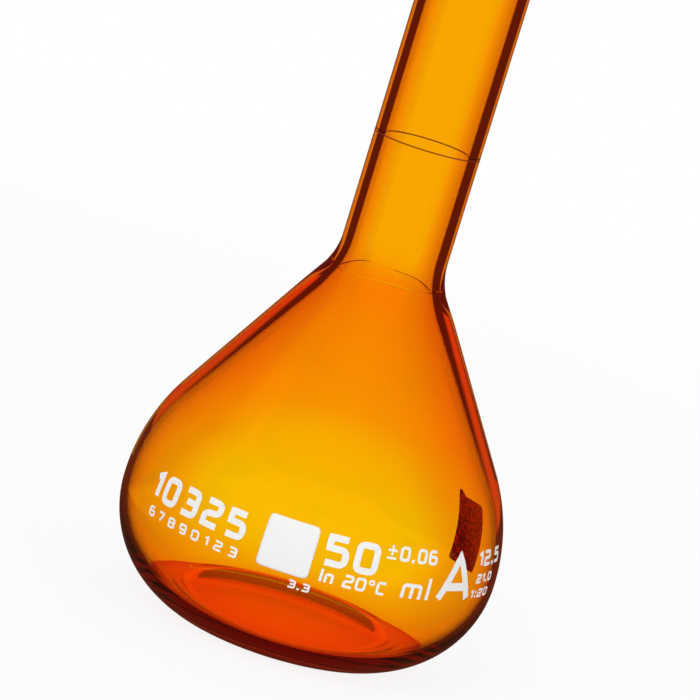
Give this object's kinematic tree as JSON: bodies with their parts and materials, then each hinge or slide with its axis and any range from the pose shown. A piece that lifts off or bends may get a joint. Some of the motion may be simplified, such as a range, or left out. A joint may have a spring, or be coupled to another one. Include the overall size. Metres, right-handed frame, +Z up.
{
  "type": "volumetric flask",
  "caption": "Amber glass volumetric flask with a pear-shaped bulb, a long narrow neck with one capacity mark, and a tapered plastic stopper that lifts out.",
  "frame": {"origin": "on the axis, in the plane of the ring the flask stands on", "axes": "+Z up along the neck's axis, -Y the printed front of the bulb, +X to the right as seen from the front"},
  "size_m": [0.0492, 0.0493, 0.1525],
  "materials": {
    "amber_glass": "clear amber borosilicate glass, fire polished, ground inside the socket",
    "brown_stain": "brown stain burnt into a fine line",
    "white_enamel": "opaque white enamel, matt for pencil",
    "brown_enamel": "fired enamel print, fine plain pattern",
    "polyethylene": "natural moulded polyethylene, satin"
  },
  "bodies": {
    "flask": {"bulb": "amber_glass", "neck_tube": "amber_glass", "ground_socket": "amber_glass", "capacity_mark": "brown_stain", "writing_panel": "white_enamel", "code_panel": "brown_enamel"},
    "stopper": {"stopper": "polyethylene"}
  },
  "joints": [
    {"name": "stopper_lift", "type": "slide", "parent": "flask", "child": "stopper", "axis": [0, 0, 1], "range_m": [0, 0.03]}
  ]
}
